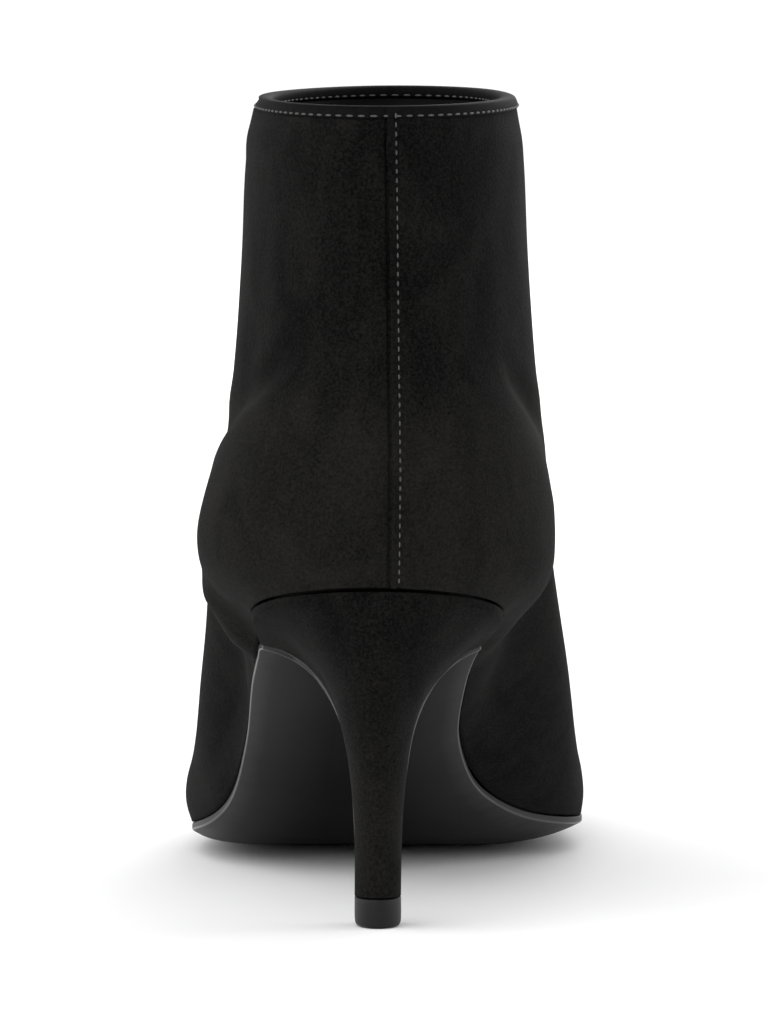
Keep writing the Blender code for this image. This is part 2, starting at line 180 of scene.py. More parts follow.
# Matt paper: a white ground with no gloss, on which only the soft shadow shows.
floor_paper, paper_shader = new_material("matt_paper", Roughness=0.9)
place = add_node(floor_paper, "ShaderNodeTexCoord", {}, {})
clouds = add_node(floor_paper, "ShaderNodeTexNoise", {"Scale": per_mm(40.0), "Detail": 3.0},
                  {"Vector": place.outputs["Object"]})
tone = add_node(floor_paper, "ShaderNodeValToRGB", {}, {"Fac": clouds.outputs["Fac"]})
tone.color_ramp.elements[0].color = srgb("#fafafa")
tone.color_ramp.elements[1].color = srgb("#fdfdfd")
floor_paper.node_tree.links.new(tone.outputs["Color"], paper_shader.inputs["Base Color"])
bm = bmesh.new()
bmesh.ops.create_circle(bm, cap_ends=True, segments=96, radius=FLOOR_RADIUS)
floor_mesh = bpy.data.meshes.new("floor")
bm.to_mesh(floor_mesh)
bm.free()
floor_mesh.materials.append(floor_paper)
floor = bpy.data.objects.new("floor", floor_mesh)
scene.collection.objects.link(floor)
print("floor radius in m:", FLOOR_RADIUS)

# %% [markdown]
# ## From a solid to a smooth piece
# The solids are faceted, with flat faces some millimetres long. Each dressed piece starts as a
# copy of its solid: the loose triangles are merged and paired into quads again, and a Subdivision
# Surface rounds them. Subdivision also shrinks a shape a little, so the copy's points are first
# pushed out, but never far, until the rounded surface passes through the solid's own points or
# close by. Edges that are sharp on the solid are creased, so they stay sharp. The upright edges at
# the toe tip are the exception, because the tip is round.

# %% Copy and round a solid
SHARP = math.radians(35.0)
MERGE = 0.005
PUSH = 0.45
TOE_TIP_Y = 118.0
UPRIGHT = 0.5  # least rise of an upright edge, as a share of its length


def solid_copy(node):
    """Editable copy of a solid, merged and in quads."""
    bm = bmesh.new()
    bm.from_mesh(frame["nodes"][node].data)
    bmesh.ops.remove_doubles(bm, verts=bm.verts, dist=MERGE * MM)
    bmesh.ops.join_triangles(bm, faces=bm.faces, angle_face_threshold=math.pi,
                             angle_shape_threshold=math.pi, topology_influence=1.5)
    return bm


def new_piece(name, bm, *materials):
    """Smooth-shaded object from a bmesh, with its materials."""
    mesh = bpy.data.meshes.new(name)
    bm.to_mesh(mesh)
    bm.free()
    for stale in ("custom_normal", "sharp_face", "sharp_edge"):
        if stale in mesh.attributes:
            mesh.attributes.remove(mesh.attributes[stale])
    mesh.shade_smooth()
    for material in materials:
        mesh.materials.append(material)
    piece = bpy.data.objects.new(name, mesh)
    scene.collection.objects.link(piece)
    return piece


def is_sharp(edge):
    """True where the faces of an edge meet at a sharp corner, apart from the round toe tip."""
    run = edge.verts[1].co - edge.verts[0].co
    at_toe_tip = edge.verts[0].co.y > TOE_TIP_Y * MM and abs(run.z) > UPRIGHT * run.length
    return edge.calc_face_angle(0.0) > SHARP and not at_toe_tip


def rounded(bm, levels, creased=True, through=3):
    """Subdivided copy of a bmesh, brought back to its points in so many rounds."""
    crease = bm.edges.layers.float.new("crease_edge")
    for edge in bm.edges:
        edge[crease] = float(creased and is_sharp(edge))
    goal = np.array([vert.co for vert in bm.verts])
    push = np.zeros_like(goal)
    carrier = new_piece("carrier", bm)
    modifier = carrier.modifiers.new("rounding", "SUBSURF")
    modifier.levels = modifier.render_levels = levels
    for _ in range(through):
        made = carrier.evaluated_get(bpy.context.evaluated_depsgraph_get()).data
        miss = goal - np.array([vert.co for vert in made.vertices[:len(goal)]])
        push = np.clip(push + miss, -PUSH * MM, PUSH * MM)
        for vert, moved_to in zip(carrier.data.vertices, goal + push):
            vert.co = moved_to
        carrier.data.update()
    smooth = bmesh.new()
    smooth.from_mesh(carrier.evaluated_get(bpy.context.evaluated_depsgraph_get()).data)
    bpy.data.objects.remove(carrier, do_unlink=True)
    print("rounded:", len(smooth.faces), "faces, points pushed by up to",
          round(float(np.abs(push).max()) / MM, 2), "mm")
    return smooth


print("edges over", round(math.degrees(SHARP)), "degrees stay sharp")

# %% [markdown]
# ## Suede
# Suede is the inner side of a hide, sanded until its fibres stand up as a short nap. It has no
# gloss, it looks a little lighter where the fibres are seen from the side, and each stroke of a
# hand lays them another way, which leaves soft lighter and darker patches. The suede is pulled
# tight over the stiff counter and round the heel's stem, and there its colour is painted lighter:
# painted light for the light that falls on the counter and the light thrown up from the floor onto
# the stem. The pieces carry that share as an attribute, which the material reads.

# %% Suede material
# Black suede: deep and matt, with a faint light rim. The patches are stretched along the strokes.
# A fibre is far too fine to show, so the speckle is drawn about half a millimetre wide.
suede, suede_shader = new_material("black_suede", Roughness=0.95, Specular_IOR_Level=0.05,
                                   Sheen_Weight=0.038, Sheen_Roughness=0.35,
                                   Sheen_Tint=srgb("#c8c8c8"))
place = add_node(suede, "ShaderNodeTexCoord", {}, {})
brushed = add_node(suede, "ShaderNodeMapping",
                   {"Scale": (1.0, 1.0, 0.5), "Rotation": (0.0, 0.35, 0.0)},
                   {"Vector": place.outputs["Object"]})
patches = add_node(suede, "ShaderNodeTexNoise",
                   {"Scale": per_mm(8.0), "Detail": 5.0, "Distortion": 0.8},
                   {"Vector": brushed.outputs["Vector"]})
speckle = add_node(suede, "ShaderNodeTexNoise",
                   {"Scale": per_mm(0.55), "Detail": 3.0, "Roughness": 0.7},
                   {"Vector": place.outputs["Object"]})
nap = add_node(suede, "ShaderNodeMath", {"operation": "MULTIPLY_ADD", 1: 0.48},
               {0: patches.outputs["Fac"], 2: speckle.outputs["Fac"]})
# Painted light: this share lightens the suede over the counter and low on the heel's stem.
painted_light_share = add_node(suede, "ShaderNodeAttribute", {"attribute_name": "painted_light"}, {})
nap_and_painted_light = add_node(suede, "ShaderNodeMath", {"operation": "MULTIPLY_ADD", 1: 0.17},
                  {0: painted_light_share.outputs["Fac"], 2: nap.outputs["Value"]})
spread = add_node(suede, "ShaderNodeMapRange", {"From Min": 0.6, "From Max": 1.1},
                  {"Value": nap_and_painted_light.outputs["Value"]})
tone = add_node(suede, "ShaderNodeValToRGB", {}, {"Fac": spread.outputs["Result"]})
tone.color_ramp.elements[0].color = srgb("#050505")
tone.color_ramp.elements[1].color = srgb("#1f1e1d")
suede.node_tree.links.new(tone.outputs["Color"], suede_shader.inputs["Base Color"])
fuzz = add_node(suede, "ShaderNodeBump", {"Strength": 0.9, "Distance": 0.18 * MM},
                {"Height": speckle.outputs["Fac"]})
suede.node_tree.links.new(fuzz.outputs["Normal"], suede_shader.inputs["Normal"])
print("suede nodes:", len(suede.node_tree.nodes))

# %% [markdown]
# ## The upper and its back seam
# The upper is sewn from an outer and an inner half. At the back the inner half laps over the outer
# one: its cut edge stands up as a fine step with a dark ditch beside it, and a row of stitches
# runs along it. A line painted on the surface would vanish from the side, so the seam is in the
# mesh. The solid has the step already. More columns are cut beside it first, so that the ditch and
# the groove of the stitches have points of their own.

# %% Columns beside the seam
HEEL_AXIS_X = 1.43
BACK_Y = -100.0  # the back of the boot lies behind this
SEAM_Z = (64.6, 71.2, 77.8, 86.3, 96.8, 107.2, 117.5, 127.8, 138.2, 146.0, 151.2)
STEP_X = (4.64, 5.08, 5.02, 4.78, 4.40, 3.87, 3.55, 3.38, 3.27, 3.20, 3.07)  # on the solid
SEAM_X = (3.93, 4.08, 4.18, 4.23, 4.03, 3.83, 3.68, 3.58, 3.43, 3.33, 3.28)  # on the real boot
SEAM_STRIPS = (  # from and to, as shares of the step's distance from the heel's axis, and cuts
    (0.2, 0.8, 4),
    (1.2, 1.5, 2),
    (2.0, 2.8, 5),
)

upper = solid_copy("upper")
for low, high, cuts in SEAM_STRIPS:
    ring = []
    for edge in upper.edges:
        middle = (edge.verts[0].co + edge.verts[1].co) / (2.0 * MM)
        run = edge.verts[1].co - edge.verts[0].co
        share = (middle.x - HEEL_AXIS_X) / (np.interp(middle.z, SEAM_Z, STEP_X) - HEEL_AXIS_X)
        if middle.y < BACK_Y and abs(run.x) > abs(run.z) and low < share < high:
            ring.append(edge)
    bmesh.ops.subdivide_edges(upper, edges=ring, cuts=cuts, use_grid_fill=True)
    print("strip from", low, "to", high, "of the seam's distance:", len(ring), "edges cut")
upper = rounded(upper, 2)

# %% [markdown]
# ## Outside and inside
# The wall has an outside of suede and an inside of lining. A line through the middle of the foot
# tells them apart: on the outside a point's normal leads away from that line.

# %% Tell the outside from the lining
LAST_LINE = np.array((
    (1.3, -66.0, 160.0), (1.3, -66.0, 110.0), (1.3, -58.0, 80.0), (0.0, -40.0, 62.0),
    (-2.0, 0.0, 40.0), (-1.0, 40.0, 24.0), (1.0, 80.0, 18.0), (4.5, 112.0, 16.0),
))


def nearest_on(line, points):
    """Nearest place on a line of points, for many points, and its share of the way along."""
    lengths = np.linalg.norm(np.diff(line, axis=0), axis=1)
    starts = np.concatenate(((0.0,), np.cumsum(lengths)))
    best, share = np.zeros_like(points), np.zeros(len(points))
    nearest_gap = np.full(len(points), np.inf)
    for first, last, start, length in zip(line[:-1], line[1:], starts, lengths):
        t = np.clip((points - first) @ (last - first) / length ** 2, 0.0, 1.0)
        at = first + t[:, None] * (last - first)
        gap = np.linalg.norm(points - at, axis=1)
        closer = gap < nearest_gap
        best[closer], nearest_gap[closer] = at[closer], gap[closer]
        share[closer] = (start + t[closer] * length) / starts[-1]
    return best, share


points = np.array([vert.co for vert in upper.verts]) / MM
normals = np.array([vert.normal for vert in upper.verts])
outside = ((points - nearest_on(LAST_LINE, points)[0]) * normals).sum(axis=1) > 0.0
print("points outside:", int(outside.sum()), "inside:", int((~outside).sum()))

# %% [markdown]
# ## The seam's line, step and grooves
# On the real boot the seam drops nearly straight, so the columns are first drawn sideways onto its
# line. Then the surface is pushed in and out by soft bell curves across it: a deep narrow one for
# the ditch, a shallow one where the thread pulls the suede down, and a low rise between them. Just
# under the collar the lap grows thicker, and the suede stands a little fuller all round, up to the
# lower edge of the binding.

# %% Seam relief
def bell(distance, width):
    """Soft bump: 1 in the middle, fading out over the width."""
    return np.exp(-(distance / width) ** 2)


def ease(start, end, at):
    """Soft step from 0 at the start to 1 at the end."""
    t = np.clip((at - start) / (end - start), 0.0, 1.0)
    return t * t * (3.0 - 2.0 * t)


DRAWN_ALONG = 9.0  # how far to the sides the surface follows the seam
STITCH_IN = 1.7  # from the seam's line to the stitches
SEAM_RELIEF = (  # height, place beside the seam's line, width
    (-0.55, -0.12, 0.30),  # the ditch
    (-0.20, STITCH_IN, 0.40),  # the groove of the thread
    (0.14, 0.85, 0.50),  # the rise between them
)
LAP = 0.5
LAP_RISES, LAP_ENDS = (0.0, 0.35), (14.0, 4.0)  # beside the seam's line
LAP_THICKENS = (141.0, 148.0)  # up the back
FULLNESS, FULLER_OUTSIDE = 0.5, 0.2
FULLER_FROM, FULLER_TO = (140.5, 146.5), (150.75, 150.45)  # up the shaft

height = points[:, 2]
back = points[:, 1] < BACK_Y
step_x = np.interp(height, SEAM_Z, STEP_X)
line_x = np.interp(height, SEAM_Z, SEAM_X)
points[:, 0] += back * (line_x - step_x) * bell(points[:, 0] - step_x, DRAWN_ALONG)
beside = points[:, 0] - line_x
relief = np.zeros(len(points))
for rise, at, width in SEAM_RELIEF:
    relief += back * rise * bell(beside - at, width)
lap_across = ease(*LAP_RISES, beside) * ease(*LAP_ENDS, beside)
relief += back * LAP * ease(*LAP_THICKENS, height) * lap_across
fullness = FULLNESS - FULLER_OUTSIDE * normals[:, 0]
relief += fullness * ease(*FULLER_FROM, height) * ease(*FULLER_TO, height)
print("deepest place of the seam:", round(float(relief.min()), 2), "mm")

# %% [markdown]
# ## Creases
# A boot fresh from its last is nearly smooth. What shows is the top edge of the stiff heel counter
# as a soft slanting fold on both sides of the ankle, and shallow folds across the front where the
# ankle bends. Cloth simulation could make folds, but not at chosen places, so each fold is a line
# of points on the boot with a width and a depth, pressed in as a trough, most of them between two
# low ridges. A depth below zero lifts a ridge instead, as where the counter's lower edge stands
# proud of the waist. The lining follows the folds at the sides, so the wall keeps its thickness
# there. Last, very low broad waves take away what is left of a machined look.

# %% Folds
FOLDS = (  # name, line along the fold, width, depth (below 0: a ridge), share of ridges beside it
    ("outer counter, high", ((-9.4, -111.3, 113.2), (-16.3, -105.5, 105.0), (-21.5, -97.4, 99.5),
                             (-27.1, -81.2, 92.1), (-29.5, -66.0, 88.0)), 4.6, 0.85, 1.2),
    ("inner counter, high", ((23.0, -98.0, 107.0), (26.3, -92.4, 100.9), (29.8, -82.2, 94.6),
                             (32.0, -68.0, 89.0)), 4.2, 0.8, 1.2),
    ("outer counter, low", ((-31.8, -83.5, 65.2), (-30.2, -78.0, 60.5), (-29.1, -75.0, 58.0),
                            (-27.1, -70.0, 54.0), (-25.9, -67.5, 51.0), (-23.7, -65.0, 48.0),
                            (-22.0, -62.5, 44.5)), 5.1, -2.3, 0.0),
    ("outer waist", ((-32.5, -80.0, 66.0), (-30.2, -67.0, 60.0), (-27.8, -61.5, 53.5),
                     (-25.0, -58.5, 48.0), (-21.5, -55.5, 40.0)), 4.6, 1.4, 0.4),
    ("inner waist", ((33.0, -78.0, 68.0), (31.0, -73.0, 62.5), (29.0, -67.5, 57.5),
                     (26.5, -62.0, 54.0), (24.8, -58.0, 50.0), (22.0, -55.0, 45.0),
                     (19.0, -52.0, 38.0)), 5.6, 1.5, 0.0),
    ("front, high", ((-27.0, -52.0, 101.0), (-20.0, -28.0, 104.0), (0.0, -13.0, 106.0),
                     (20.0, -26.0, 104.0), (29.0, -50.0, 100.0)), 9.0, 0.35, 1.2),
    ("front, low", ((-30.0, -46.0, 84.0), (-24.0, -18.0, 86.0), (0.0, 0.0, 86.0),
                    (24.0, -16.0, 86.0), (31.0, -44.0, 83.0)), 10.0, 0.4, 1.2),
)
FOLD_ENDS = (0.0, 0.3), (1.0, 0.7)  # where a fold comes in and goes out, as shares of its line
WAVE_WIDTH, WAVE_HEIGHT = 34.0, 0.22
WAVES_END = (151.0, 140.0)  # below the binding
SIDE_WALL = 0.5  # the lining faces sideways at least this much where it follows the folds

folds = np.zeros(len(points))
for name, line, width, depth, ridges in FOLDS:
    nearest, share = nearest_on(np.array(line), points)
    gap = np.linalg.norm(points - nearest, axis=1) / width
    fade = ease(*FOLD_ENDS[0], share) * ease(*FOLD_ENDS[1], share)
    folds -= depth * fade * (1.0 - ridges * gap ** 2) * np.exp(-gap ** 2)
    print(name, "fold:", width, "mm wide,", depth, "mm deep")
waves = np.array([noise.noise(Vector(point) / WAVE_WIDTH) for point in points])
relief += WAVE_HEIGHT * waves * ease(*WAVES_END, height)
on_lining = ~outside & (np.abs(normals[:, 0]) > SIDE_WALL)
points += normals * ((relief + folds) * outside - folds * on_lining)[:, None]
for vert, point in zip(upper.verts, points):
    vert.co = Vector(point) * MM

# %% [markdown]
# ## The outer side of the ball
# On the real boot the sole's rim at the outer side of the ball lies up to about 2.4 mm lower than
# on the solids. Upper, insole and sole have to come down together, so one function lowers the
# points of a piece, most at the rim. It fades out inward, upward, to heel and toe, and towards the
# floor, which nothing may go through.

# %% Lower the outer side
LOWER_STEPS = (  # change of depth, and from where to where along the boot it comes in
    (2.8, -45.0, -18.0),
    (-1.4, -10.0, 12.0),
    (-1.4, 45.0, 85.0),
)
FADE_INWARD, FADE_UPWARD, FADE_TO_FLOOR = (-12.0, -36.0), (44.0, 20.0), (0.0, 5.0)


def settle(bm):
    """Lower the outer side of a piece at the ball, most at the sole's rim."""
    x, y, z = (np.array([vert.co for vert in bm.verts]) / MM).T
    depth = sum(change * ease(start, end, y) for change, start, end in LOWER_STEPS)
    depth *= ease(*FADE_INWARD, x) * ease(*FADE_UPWARD, z) * ease(*FADE_TO_FLOOR, z)
    for vert, down in zip(bm.verts, depth):
        vert.co.z -= down * MM
    print("lowered by up to", round(float(depth.max()), 2), "mm")


settle(upper)

# %% [markdown]
# ## Lining
# Inside, the boot is lined with thin smooth leather with fine pores, a little warmer than the
# suede. Pores are the dark dots in the middle of the cells of a Voronoi pattern, drawn larger than
# real ones so that they show at all.

# %% Lining material
# Lining leather: dark, with a dull gloss that tells it from the suede.
lining, lining_shader = new_material("lining_leather", Roughness=0.62, Specular_IOR_Level=0.2)
place = add_node(lining, "ShaderNodeTexCoord", {}, {})
pores = add_node(lining, "ShaderNodeTexVoronoi", {"Scale": per_mm(0.8)},
                 {"Vector": place.outputs["Object"]})
tone = add_node(lining, "ShaderNodeValToRGB", {}, {"Fac": pores.outputs["Distance"]})
tone.color_ramp.elements[0].color = srgb("#090808")
tone.color_ramp.elements[1].position = 0.35
tone.color_ramp.elements[1].color = srgb("#100f0e")
lining.node_tree.links.new(tone.outputs["Color"], lining_shader.inputs["Base Color"])
dots = add_node(lining, "ShaderNodeBump", {"Strength": 0.3, "Distance": 0.05 * MM},
                {"Height": pores.outputs["Distance"]})
lining.node_tree.links.new(dots.outputs["Normal"], lining_shader.inputs["Normal"])
print("lining nodes:", len(lining.node_tree.nodes))

# %% [markdown]
# ## The finished upper
# One closed wall carries both leathers: a face with most of its corners inside gets the lining,
# and any other the suede. Two sheets with a gap would show a crack at the collar. The share of
# painted light is 1 over the counter and fades out above it and towards the waist.

# %% Upper
COUNTER_TOP, COUNTER_FRONT = (106.0, 92.0), (-40.0, -75.0)  # heights, and places along the boot


def keep_share(piece, name, shares):
    """Keep a share from 0 to 1 for each point of a piece, for its material to read."""
    piece.data.attributes.new(name, "FLOAT", "POINT").data.foreach_set("value", shares)


inside = {vert.index for vert, out in zip(upper.verts, outside) if not out}
for face in upper.faces:
    corners_inside = sum(vert.index in inside for vert in face.verts)
    face.material_index = int(corners_inside * 2 > len(face.verts))
seam_tree = BVHTree.FromBMesh(upper)
upper_piece = new_piece("suede_upper", upper, suede, lining)
# Painted light on the counter: full over it, fading out above it and towards the waist.
painted_light_on_counter = ease(*COUNTER_TOP, points[:, 2]) * ease(*COUNTER_FRONT, points[:, 1])
keep_share(upper_piece, "painted_light", painted_light_on_counter)
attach(upper_piece, "root")
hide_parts("upper")
print("upper:", len(upper_piece.data.polygons), "faces")

# %% [markdown]
# ## Collar binding
# A strip of smooth leather is folded over the collar's raw edge. Smooth leather has a low, even
# gloss and a fine grain of small cells, drawn half a millimetre wide, a little coarser than real.

# %% Leather of the binding
# Smooth black leather: a cleaner black than the suede, so the strip reads as another material.
leather, leather_shader = new_material("smooth_black_leather", Roughness=0.65,
                                       Specular_IOR_Level=0.03)
place = add_node(leather, "ShaderNodeTexCoord", {}, {})
grain = add_node(leather, "ShaderNodeTexVoronoi",
                 {"Scale": per_mm(0.5), "feature": "SMOOTH_F1"},
                 {"Vector": place.outputs["Object"]})
dye = add_node(leather, "ShaderNodeTexNoise", {"Scale": per_mm(1.5), "Detail": 4.0},
               {"Vector": place.outputs["Object"]})
tone = add_node(leather, "ShaderNodeValToRGB", {}, {"Fac": dye.outputs["Fac"]})
tone.color_ramp.elements[0].color = srgb("#040404")
tone.color_ramp.elements[1].color = srgb("#141313")
leather.node_tree.links.new(tone.outputs["Color"], leather_shader.inputs["Base Color"])
cells = add_node(leather, "ShaderNodeBump", {"Strength": 0.35, "Distance": 0.06 * MM},
                 {"Height": grain.outputs["Distance"]})
leather.node_tree.links.new(cells.outputs["Normal"], leather_shader.inputs["Normal"])
print("leather nodes:", len(leather.node_tree.nodes))

# %% [markdown]
# ## The strip's form
# The strip is the solid's U-shaped section, rounded with no creases, as folded leather is. Its
# outer face leans in towards the top, a little more on the outer side of the foot. Where it
# crosses the back seam, the lap lifts it and the ditch runs on through it.

# %% Binding
RIM_MIDDLE = Vector((2.1, -66.0, 151.1))
SET_IN, LEAN, LEAN_OUTSIDE = 0.05, 0.7, 0.3
LEANS_FROM = (150.5, 152.8)  # up the strip
LAP_LIFT, LIFT_RISES, LIFT_ENDS = 0.22, (0.0, 0.4), (5.0, 3.2)  # beside the seam's line
DITCH, DITCH_AT, DITCH_WIDTH = 0.4, -0.1, 0.3
NOT_INNER = 0.3  # the strip's inner face looks forward more than this

binding = rounded(solid_copy("collar_binding"), 3, creased=False, through=0)
for vert, normal in [(vert, vert.normal.copy()) for vert in binding.verts]:
    x, y, z = vert.co / MM
    flat = Vector((normal.x, normal.y, 0.0))
    if flat.dot(vert.co - RIM_MIDDLE * MM) > 0.0:
        lean = (LEAN - LEAN_OUTSIDE * normal.x) * ease(*LEANS_FROM, z)
        vert.co -= flat * (SET_IN + lean) * MM
    if y < BACK_Y and normal.y < NOT_INNER:
        beside = x - SEAM_X[-1]
        lift = LAP_LIFT * ease(*LIFT_RISES, beside) * ease(*LIFT_ENDS, beside)
        vert.co.y -= (lift - DITCH * bell(beside - DITCH_AT, DITCH_WIDTH)) * MM
rim_tree = BVHTree.FromBMesh(binding)
binding_piece = new_piece("collar_binding_strip", binding, leather)
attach(binding_piece, "root")
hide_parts("collar_binding")
print("binding:", len(binding_piece.data.polygons), "faces")

# %% [markdown]
# ## Heel
# The heel is a moulded block with the same suede pulled round it, so it needs no new material. The
# solids leave a hair's breadth between the block and the sole's tail, which is glued to its front.
# Light would shine through there, so the middle of the block's front is brought up against the
# tail, and only a fine dark line is left at its sides. The suede is pulled tight round the slim
# stem, and low on it its colour is painted lighter: painted light for the light thrown up from the
# floor.

# %% Heel
GLUE = 0.38
FORWARD, SIDEWAYS = 0.3, 0.2  # the front looks forward more, and sideways less, than this
STEM_PAINTED_LIGHT, STEM = 0.8, (45.0, 20.0)

heel = rounded(solid_copy("heel"), 3)
for vert, normal in [(vert, vert.normal.copy()) for vert in heel.verts]:
    if normal.y > FORWARD and abs(normal.x) < SIDEWAYS:
        vert.co += normal * GLUE * MM
heel_piece = new_piece("suede_heel", heel, suede)
heel_heights = np.array([vert.co.z for vert in heel_piece.data.vertices]) / MM
# Painted light low on the stem, for the light thrown up from the floor.
keep_share(heel_piece, "painted_light", STEM_PAINTED_LIGHT * ease(*STEM, heel_heights))
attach(heel_piece, "root")
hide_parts("heel")
print("heel:", len(heel_piece.data.polygons), "faces")

# %% [markdown]
# ## Leather, wax and painted light of the sole
# The sole is thin dyed leather, rubbed to a satin gloss underneath. Its cut edge is burnished with
# wax, and its corners are painted lighter, partly for the wax and partly as a painted highlight,
# so they show as fine grey lines round the sole and down both sides of the heel. Underneath, the
# colour is painted lighter towards the edge, as a painted reflection of the bright room. Each point
# of the mesh keeps how far out it is, from 0 in the middle to 1 at the edge, as an attribute named
# out_to_edge, and the colour follows that.

# %% Sole materials
# Dyed sole leather: satin, dark in the middle, faintly streaked along, with a painted reflection
# that turns it grey towards the edge.
sole_leather, sole_shader = new_material("dyed_sole_leather", Roughness=0.45,
                                         Specular_IOR_Level=0.06)
place = add_node(sole_leather, "ShaderNodeTexCoord", {}, {})
along = add_node(sole_leather, "ShaderNodeMapping", {"Scale": (1.0, 0.25, 1.0)},
                 {"Vector": place.outputs["Object"]})
streaks = add_node(sole_leather, "ShaderNodeTexNoise", {"Scale": per_mm(2.5), "Detail": 5.0},
                   {"Vector": along.outputs["Vector"]})
out_to_edge = add_node(sole_leather, "ShaderNodeAttribute",
                       {"attribute_name": "out_to_edge"}, {})
# Painted reflection: the colour grows lighter towards the sole's edge underneath.
streaks_and_painted_reflection = add_node(sole_leather, "ShaderNodeMath", {"operation": "MULTIPLY_ADD", 1: 0.06},
                  {0: streaks.outputs["Fac"], 2: out_to_edge.outputs["Fac"]})
tone = add_node(sole_leather, "ShaderNodeValToRGB", {}, {"Fac": streaks_and_painted_reflection.outputs["Value"]})
tone.color_ramp.elements[0].position = 0.25
tone.color_ramp.elements[0].color = srgb("#040404")
tone.color_ramp.elements[1].color = srgb("#343434")
tone.color_ramp.elements.new(0.85).color = srgb("#232323")
sole_leather.node_tree.links.new(tone.outputs["Color"], sole_shader.inputs["Base Color"])
fibre = add_node(sole_leather, "ShaderNodeBump", {"Strength": 0.12, "Distance": 0.05 * MM},
                 {"Height": streaks.outputs["Fac"]})
sole_leather.node_tree.links.new(fibre.outputs["Normal"], sole_shader.inputs["Normal"])

# Waxed edge: glossier and lighter than the leather, so it draws a fine line. The lighter colour is
# partly the wax and partly a painted highlight on the sole's corners.
wax_and_painted_highlight, edge_shader = new_material("waxed_edge_and_painted_highlight", Roughness=0.3, Specular_IOR_Level=0.3)
place = add_node(wax_and_painted_highlight, "ShaderNodeTexCoord", {}, {})
rub = add_node(wax_and_painted_highlight, "ShaderNodeTexNoise", {"Scale": per_mm(1.5), "Detail": 4.0},
               {"Vector": place.outputs["Object"]})
tone = add_node(wax_and_painted_highlight, "ShaderNodeValToRGB", {}, {"Fac": rub.outputs["Fac"]})
tone.color_ramp.elements[0].color = srgb("#282828")
tone.color_ramp.elements[1].color = srgb("#3c3c3c")
wax_and_painted_highlight.node_tree.links.new(tone.outputs["Color"], edge_shader.inputs["Base Color"])
print("sole nodes:", len(sole_leather.node_tree.nodes))
print("edge nodes:", len(wax_and_painted_highlight.node_tree.nodes))

# %% [markdown]
# ## The sole's form
# Under the toe tip the solid's underside is so strongly crowned that rounding it would leave a
# square tip, so it is eased up there towards the height of the rim. A bevel then rounds the sharp
# corners of the edge and hands back its new faces. Those that face down and those on the tail get
# the wax, whose lighter colour is partly a painted highlight. The corner under the suede stays
# plain, because no wax shows there.

# %% Sole
TOE_RIM_Y = (95.88, 100.17, 104.25, 108.12, 111.77, 115.21, 118.43, 121.44)
TOE_RIM_Z = (7.88, 8.38, 8.88, 9.39, 9.91, 10.41, 10.88, 11.31)
EASED_MERGE = 0.05
EDGE_BEVEL = 0.24
TAIL_Y = -75.0  # the tail lies behind this
SLICE = 4.0  # length of sole over which its middle and its edges are found

sole = solid_copy("outsole")
for vert in sole.verts:
    _, y, z = vert.co / MM
    rise = np.interp(y, TOE_RIM_Y, TOE_RIM_Z) - z
    if y > TOE_RIM_Y[0] and rise > 0.0:
        vert.co.z += rise * (y - TOE_RIM_Y[0]) / (TOE_RIM_Y[-1] - TOE_RIM_Y[0]) * MM
bmesh.ops.remove_doubles(sole, verts=sole.verts, dist=EASED_MERGE * MM)
settle(sole)
sole = rounded(sole, 2)
corners = bmesh.ops.bevel(sole, geom=[edge for edge in sole.edges if is_sharp(edge)],
                          offset=EDGE_BEVEL * MM, segments=3, profile=0.5, affect="EDGES",
                          material=-1)
# These corner faces get a lighter colour: partly wax, partly a painted highlight.
for face in corners["faces"]:
    on_tail = face.calc_center_median().y < TAIL_Y * MM
    face.material_index = int(on_tail or face.normal.z < 0.0)
sole_piece = new_piece("leather_sole", sole, sole_leather, wax_and_painted_highlight)
places = np.array([vert.co for vert in sole_piece.data.vertices])
slices = np.round(places[:, 1] / (SLICE * MM)).astype(int)
share_out = np.zeros(len(places))
for at in set(slices):
    across = places[slices == at, 0]
    middle = (across.min() + across.max()) / 2.0
    share_out[slices == at] = np.abs(across - middle) / (np.ptp(across) / 2.0)
keep_share(sole_piece, "out_to_edge", share_out)
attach(sole_piece, "root")
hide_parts("outsole")
print("sole:", len(sole_piece.data.polygons), "faces")

# %% [markdown]
# ## Heel tip
# The tip is moulded from a hard plastic and takes the wear of each step. Steel moulds are often
# sparked to a fine matt texture, which the plastic keeps. Its real pits are finer than can show, so
# they are drawn 0.4 mm wide. The corners are never quite sharp, so a small bevel rounds them and
# catches the light.

# %% Heel tip
TIP_BEVEL = 0.2

# Polyurethane: dark grey and satin, plainly harder than the suede above it.
plastic, plastic_shader = new_material("moulded_polyurethane", Roughness=0.5,
                                       Specular_IOR_Level=0.18)
place = add_node(plastic, "ShaderNodeTexCoord", {}, {})
spark = add_node(plastic, "ShaderNodeTexNoise", {"Scale": per_mm(0.4), "Detail": 2.0},
                 {"Vector": place.outputs["Object"]})
tone = add_node(plastic, "ShaderNodeValToRGB", {}, {"Fac": spark.outputs["Fac"]})
tone.color_ramp.elements[0].color = srgb("#121212")
tone.color_ramp.elements[1].color = srgb("#1c1b1b")
plastic.node_tree.links.new(tone.outputs["Color"], plastic_shader.inputs["Base Color"])
pits = add_node(plastic, "ShaderNodeBump", {"Strength": 0.2, "Distance": 0.04 * MM},
                {"Height": spark.outputs["Fac"]})
plastic.node_tree.links.new(pits.outputs["Normal"], plastic_shader.inputs["Normal"])
tip = rounded(solid_copy("heel_tip"), 2)
bmesh.ops.bevel(tip, geom=[edge for edge in tip.edges if is_sharp(edge)],
                offset=TIP_BEVEL * MM, segments=2, profile=0.5, affect="EDGES", material=-1)
tip_piece = new_piece("plastic_heel_tip", tip, plastic)
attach(tip_piece, "root")
